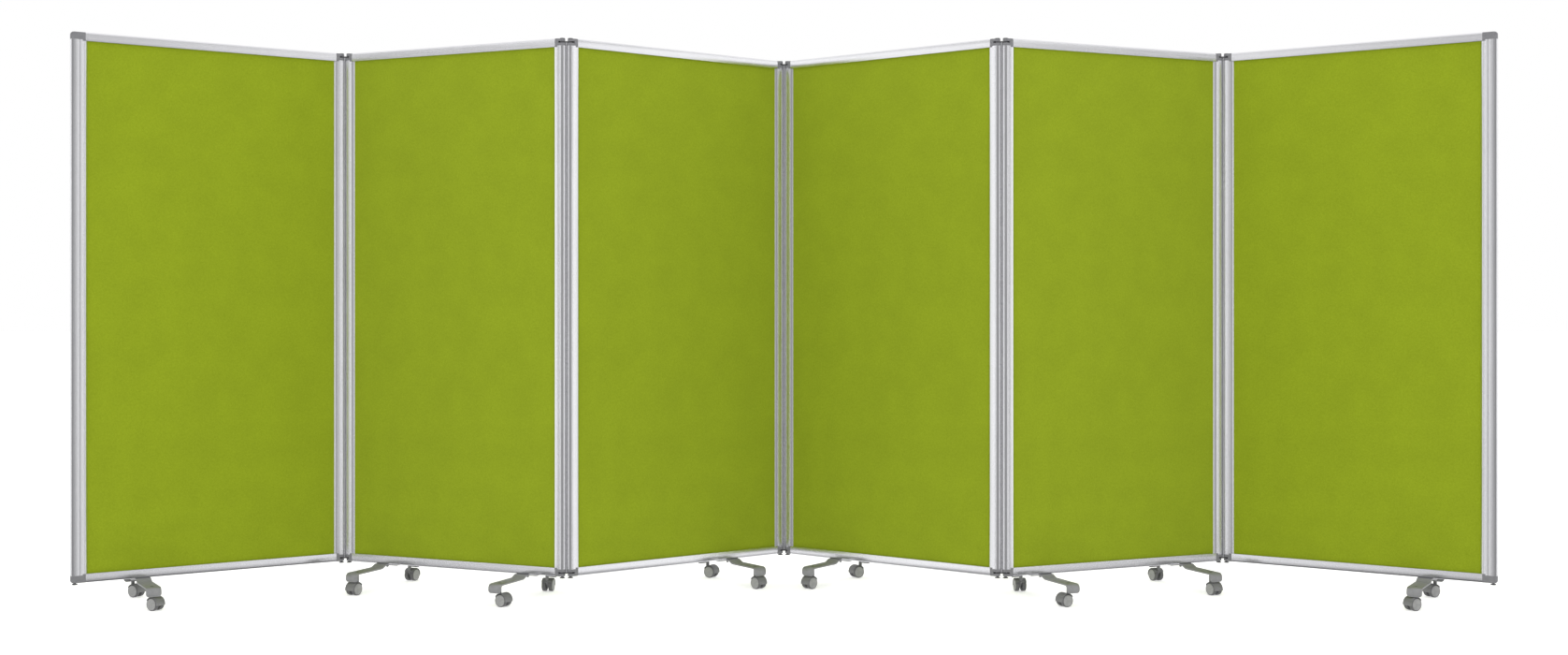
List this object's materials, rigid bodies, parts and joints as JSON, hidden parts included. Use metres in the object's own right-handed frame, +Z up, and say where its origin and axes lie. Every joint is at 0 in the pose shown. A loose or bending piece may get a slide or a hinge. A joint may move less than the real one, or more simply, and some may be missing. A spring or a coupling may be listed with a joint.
{
  "type": "folding room divider",
  "caption": "Accordion room divider: tall felt-covered boards in aluminium frames, joined by double-pin hinges, on flat steel feet with twin-wheel casters.",
  "frame": {"origin": "on the floor, under the middle of the screen's bounding box as it stands in the picture", "axes": "+X along the open screen, +Z up, -Y towards the viewer"},
  "size_m": [4.6644, 0.742, 1.888],
  "materials": {
    "felt": "matt lime green felt",
    "aluminium": "satin anodised",
    "corner_plastic": "fine-textured grey",
    "hinge_steel": "dull zinc",
    "foot_steel": "silver-grey powder coat",
    "caster_housing": "satin grey",
    "caster_wheel": "satin light grey with a darker tread"
  },
  "bodies": {
    "panel_1": {"panel_1_frame": "aluminium", "panel_1_board": "felt", "foot_1": "foot_steel"},
    "panel_2": {"panel_2_frame": "aluminium", "panel_2_board": "felt", "foot_2_outer": "foot_steel", "foot_2_inner": "foot_steel"},
    "panel_3": {"panel_3_frame": "aluminium", "panel_3_board": "felt", "foot_3": "foot_steel"},
    "panel_4": {"panel_4_frame": "aluminium", "panel_4_board": "felt", "foot_4": "foot_steel"},
    "panel_5": {"panel_5_frame": "aluminium", "panel_5_board": "felt", "foot_5_inner": "foot_steel", "foot_5_outer": "foot_steel"},
    "panel_6": {"panel_6_frame": "aluminium", "panel_6_board": "felt", "foot_6": "foot_steel"},
    "link_1_2": {"hinge_1_2": "hinge_steel"},
    "link_2_3": {"hinge_2_3": "hinge_steel"},
    "link_3_4": {"hinge_3_4": "hinge_steel"},
    "link_4_5": {"hinge_4_5": "hinge_steel"},
    "link_5_6": {"hinge_5_6": "hinge_steel"},
    "foot_1_front_swivel": {"foot_1_front_housing": "caster_housing"},
    "foot_1_front_wheel_pair": {"foot_1_front_wheels": "caster_wheel"},
    "foot_1_rear_swivel": {"foot_1_rear_housing": "caster_housing"},
    "foot_1_rear_wheel_pair": {"foot_1_rear_wheels": "caster_wheel"},
    "foot_2_outer_front_swivel": {"foot_2_outer_front_housing": "caster_housing"},
    "foot_2_outer_front_wheel_pair": {"foot_2_outer_front_wheels": "caster_wheel"},
    "foot_2_outer_rear_swivel": {"foot_2_outer_rear_housing": "caster_housing"},
    "foot_2_outer_rear_wheel_pair": {"foot_2_outer_rear_wheels": "caster_wheel"},
    "foot_2_inner_front_swivel": {"foot_2_inner_front_housing": "caster_housing"},
    "foot_2_inner_front_wheel_pair": {"foot_2_inner_front_wheels": "caster_wheel"},
    "foot_2_inner_rear_swivel": {"foot_2_inner_rear_housing": "caster_housing"},
    "foot_2_inner_rear_wheel_pair": {"foot_2_inner_rear_wheels": "caster_wheel"},
    "foot_3_front_swivel": {"foot_3_front_housing": "caster_housing"},
    "foot_3_front_wheel_pair": {"foot_3_front_wheels": "caster_wheel"},
    "foot_3_rear_swivel": {"foot_3_rear_housing": "caster_housing"},
    "foot_3_rear_wheel_pair": {"foot_3_rear_wheels": "caster_wheel"},
    "foot_4_front_swivel": {"foot_4_front_housing": "caster_housing"},
    "foot_4_front_wheel_pair": {"foot_4_front_wheels": "caster_wheel"},
    "foot_4_rear_swivel": {"foot_4_rear_housing": "caster_housing"},
    "foot_4_rear_wheel_pair": {"foot_4_rear_wheels": "caster_wheel"},
    "foot_5_inner_front_swivel": {"foot_5_inner_front_housing": "caster_housing"},
    "foot_5_inner_front_wheel_pair": {"foot_5_inner_front_wheels": "caster_wheel"},
    "foot_5_inner_rear_swivel": {"foot_5_inner_rear_housing": "caster_housing"},
    "foot_5_inner_rear_wheel_pair": {"foot_5_inner_rear_wheels": "caster_wheel"},
    "foot_5_outer_front_swivel": {"foot_5_outer_front_housing": "caster_housing"},
    "foot_5_outer_front_wheel_pair": {"foot_5_outer_front_wheels": "caster_wheel"},
    "foot_5_outer_rear_swivel": {"foot_5_outer_rear_housing": "caster_housing"},
    "foot_5_outer_rear_wheel_pair": {"foot_5_outer_rear_wheels": "caster_wheel"},
    "foot_6_front_swivel": {"foot_6_front_housing": "caster_housing"},
    "foot_6_front_wheel_pair": {"foot_6_front_wheels": "caster_wheel"},
    "foot_6_rear_swivel": {"foot_6_rear_housing": "caster_housing"},
    "foot_6_rear_wheel_pair": {"foot_6_rear_wheels": "caster_wheel"}
  },
  "joints": [
    {"name": "fold_3_4", "type": "hinge", "parent": "panel_3", "child": "link_3_4", "pos_m": [-0.0134, 0.34128, 0.986], "axis": [0, 0, -1], "range_deg": [-84, 11]},
    {"name": "fold_3_4_second_pin", "type": "hinge", "parent": "link_3_4", "child": "panel_4", "pos_m": [0.0134, 0.34128, 0.986], "axis": [0, 0, -1], "range_deg": [-84, 11]},
    {"name": "fold_4_5", "type": "hinge", "parent": "panel_4", "child": "link_4_5", "pos_m": [0.71597, -0.1786, 0.986], "axis": [0, 0, 1], "range_deg": [-84, 40]},
    {"name": "fold_4_5_second_pin", "type": "hinge", "parent": "link_4_5", "child": "panel_5", "pos_m": [0.74259, -0.18174, 0.986], "axis": [0, 0, 1], "range_deg": [-84, 40]},
    {"name": "fold_5_6", "type": "hinge", "parent": "panel_5", "child": "link_5_6", "pos_m": [1.54711, 0.15975, 0.986], "axis": [0, 0, -1], "range_deg": [-97, 42]},
    {"name": "fold_5_6_second_pin", "type": "hinge", "parent": "link_5_6", "child": "panel_6", "pos_m": [1.57381, 0.15754, 0.986], "axis": [0, 0, -1], "range_deg": [-97, 42]},
    {"name": "fold_2_3", "type": "hinge", "parent": "panel_3", "child": "link_2_3", "pos_m": [-0.71597, -0.1786, 0.986], "axis": [0, 0, -1], "range_deg": [-84, 40]},
    {"name": "fold_2_3_second_pin", "type": "hinge", "parent": "link_2_3", "child": "panel_2", "pos_m": [-0.74259, -0.18174, 0.986], "axis": [0, 0, -1], "range_deg": [-84, 40]},
    {"name": "fold_1_2", "type": "hinge", "parent": "panel_2", "child": "link_1_2", "pos_m": [-1.54711, 0.15975, 0.986], "axis": [0, 0, 1], "range_deg": [-97, 42]},
    {"name": "fold_1_2_second_pin", "type": "hinge", "parent": "link_1_2", "child": "panel_1", "pos_m": [-1.57381, 0.15754, 0.986], "axis": [0, 0, 1], "range_deg": [-97, 42]},
    {"name": "foot_1_front_turn", "type": "hinge", "parent": "panel_1", "child": "foot_1_front_swivel", "pos_m": [-2.06167, -0.33111, 0.06], "axis": [0, 0, 1], "continuous": true},
    {"name": "foot_1_front_roll", "type": "hinge", "parent": "foot_1_front_swivel", "child": "foot_1_front_wheel_pair", "pos_m": [-2.04728, -0.33813, 0.0215], "axis": [0.4384, 0.8988, 0], "continuous": true},
    {"name": "foot_1_rear_turn", "type": "hinge", "parent": "panel_1", "child": "foot_1_rear_swivel", "pos_m": [-2.22286, -0.0781, 0.06], "axis": [0, 0, 1], "continuous": true},
    {"name": "foot_1_rear_roll", "type": "hinge", "parent": "foot_1_rear_swivel", "child": "foot_1_rear_wheel_pair", "pos_m": [-2.20824, -0.0846, 0.0215], "axis": [0.4067, 0.9135, 0], "continuous": true},
    {"name": "foot_2_outer_front_turn", "type": "hinge", "parent": "panel_2", "child": "foot_2_outer_front_swivel", "pos_m": [-1.46764, -0.03693, 0.06], "axis": [0, 0, 1], "continuous": true},
    {"name": "foot_2_outer_front_roll", "type": "hinge", "parent": "foot_2_outer_front_swivel", "child": "foot_2_outer_front_wheel_pair", "pos_m": [-1.47465, -0.05131, 0.0215], "axis": [0.8988, -0.4384, 0], "continuous": true},
    {"name": "foot_2_outer_rear_turn", "type": "hinge", "parent": "panel_2", "child": "foot_2_outer_rear_swivel", "pos_m": [-1.35042, 0.23922, 0.06], "axis": [0, 0, 1], "continuous": true},
    {"name": "foot_2_outer_rear_roll", "type": "hinge", "parent": "foot_2_outer_rear_swivel", "child": "foot_2_outer_rear_wheel_pair", "pos_m": [-1.34443, 0.25405, 0.0215], "axis": [-0.9272, 0.3746, 0], "continuous": true},
    {"name": "foot_2_inner_front_turn", "type": "hinge", "parent": "panel_2", "child": "foot_2_inner_front_swivel", "pos_m": [-0.93927, -0.26121, 0.06], "axis": [0, 0, 1], "continuous": true},
    {"name": "foot_2_inner_front_roll", "type": "hinge", "parent": "foot_2_inner_front_swivel", "child": "foot_2_inner_front_wheel_pair", "pos_m": [-0.92541, -0.26921, 0.0215], "axis": [0.5, 0.866, 0], "continuous": true},
    {"name": "foot_2_inner_rear_turn", "type": "hinge", "parent": "panel_2", "child": "foot_2_inner_rear_swivel", "pos_m": [-0.82205, 0.01494, 0.06], "axis": [0, 0, 1], "continuous": true},
    {"name": "foot_2_inner_rear_roll", "type": "hinge", "parent": "foot_2_inner_rear_swivel", "child": "foot_2_inner_rear_wheel_pair", "pos_m": [-0.8201, 0.03082, 0.0215], "axis": [-0.9925, 0.1219, 0], "continuous": true},
    {"name": "foot_3_front_turn", "type": "hinge", "parent": "panel_3", "child": "foot_3_front_swivel", "pos_m": [-0.10103, 0.08984, 0.06], "axis": [0, 0, 1], "continuous": true},
    {"name": "foot_3_front_roll", "type": "hinge", "parent": "foot_3_front_swivel", "child": "foot_3_front_wheel_pair", "pos_m": [-0.08952, 0.07873, 0.0215], "axis": [0.6947, 0.7193, 0], "continuous": true},
    {"name": "foot_3_rear_turn", "type": "hinge", "parent": "panel_3", "child": "foot_3_rear_swivel", "pos_m": [-0.27947, 0.331, 0.06], "axis": [0, 0, 1], "continuous": true},
    {"name": "foot_3_rear_roll", "type": "hinge", "parent": "foot_3_rear_swivel", "child": "foot_3_rear_wheel_pair", "pos_m": [-0.26562, 0.323, 0.0215], "axis": [0.5, 0.866, 0], "continuous": true},
    {"name": "foot_4_front_turn", "type": "hinge", "parent": "panel_4", "child": "foot_4_front_swivel", "pos_m": [0.10103, 0.08984, 0.06], "axis": [0, 0, 1], "continuous": true},
    {"name": "foot_4_front_roll", "type": "hinge", "parent": "foot_4_front_swivel", "child": "foot_4_front_wheel_pair", "pos_m": [0.08951, 0.07873, 0.0215], "axis": [0.6947, -0.7193, 0], "continuous": true},
    {"name": "foot_4_rear_turn", "type": "hinge", "parent": "panel_4", "child": "foot_4_rear_swivel", "pos_m": [0.27947, 0.331, 0.06], "axis": [0, 0, 1], "continuous": true},
    {"name": "foot_4_rear_roll", "type": "hinge", "parent": "foot_4_rear_swivel", "child": "foot_4_rear_wheel_pair", "pos_m": [0.26561, 0.323, 0.0215], "axis": [0.5, -0.866, 0], "continuous": true},
    {"name": "foot_5_inner_front_turn", "type": "hinge", "parent": "panel_5", "child": "foot_5_inner_front_swivel", "pos_m": [0.93927, -0.26121, 0.06], "axis": [0, 0, 1], "continuous": true},
    {"name": "foot_5_inner_front_roll", "type": "hinge", "parent": "foot_5_inner_front_swivel", "child": "foot_5_inner_front_wheel_pair", "pos_m": [0.92541, -0.26921, 0.0215], "axis": [0.5, -0.866, 0], "continuous": true},
    {"name": "foot_5_inner_rear_turn", "type": "hinge", "parent": "panel_5", "child": "foot_5_inner_rear_swivel", "pos_m": [0.82205, 0.01494, 0.06], "axis": [0, 0, 1], "continuous": true},
    {"name": "foot_5_inner_rear_roll", "type": "hinge", "parent": "foot_5_inner_rear_swivel", "child": "foot_5_inner_rear_wheel_pair", "pos_m": [0.8201, 0.03082, 0.0215], "axis": [-0.9925, -0.1219, 0], "continuous": true},
    {"name": "foot_5_outer_front_turn", "type": "hinge", "parent": "panel_5", "child": "foot_5_outer_front_swivel", "pos_m": [1.46764, -0.03693, 0.06], "axis": [0, 0, 1], "continuous": true},
    {"name": "foot_5_outer_front_roll", "type": "hinge", "parent": "foot_5_outer_front_swivel", "child": "foot_5_outer_front_wheel_pair", "pos_m": [1.47465, -0.05131, 0.0215], "axis": [0.8988, 0.4384, 0], "continuous": true},
    {"name": "foot_5_outer_rear_turn", "type": "hinge", "parent": "panel_5", "child": "foot_5_outer_rear_swivel", "pos_m": [1.35042, 0.23922, 0.06], "axis": [0, 0, 1], "continuous": true},
    {"name": "foot_5_outer_rear_roll", "type": "hinge", "parent": "foot_5_outer_rear_swivel", "child": "foot_5_outer_rear_wheel_pair", "pos_m": [1.34443, 0.25405, 0.0215], "axis": [-0.9272, -0.3746, 0], "continuous": true},
    {"name": "foot_6_front_turn", "type": "hinge", "parent": "panel_6", "child": "foot_6_front_swivel", "pos_m": [2.06167, -0.33111, 0.06], "axis": [0, 0, 1], "continuous": true},
    {"name": "foot_6_front_roll", "type": "hinge", "parent": "foot_6_front_swivel", "child": "foot_6_front_wheel_pair", "pos_m": [2.04728, -0.33813, 0.0215], "axis": [0.4384, -0.8988, 0], "continuous": true},
    {"name": "foot_6_rear_turn", "type": "hinge", "parent": "panel_6", "child": "foot_6_rear_swivel", "pos_m": [2.22286, -0.0781, 0.06], "axis": [0, 0, 1], "continuous": true},
    {"name": "foot_6_rear_roll", "type": "hinge", "parent": "foot_6_rear_swivel", "child": "foot_6_rear_wheel_pair", "pos_m": [2.20824, -0.0846, 0.0215], "axis": [0.4067, -0.9135, 0], "continuous": true}
  ]
}
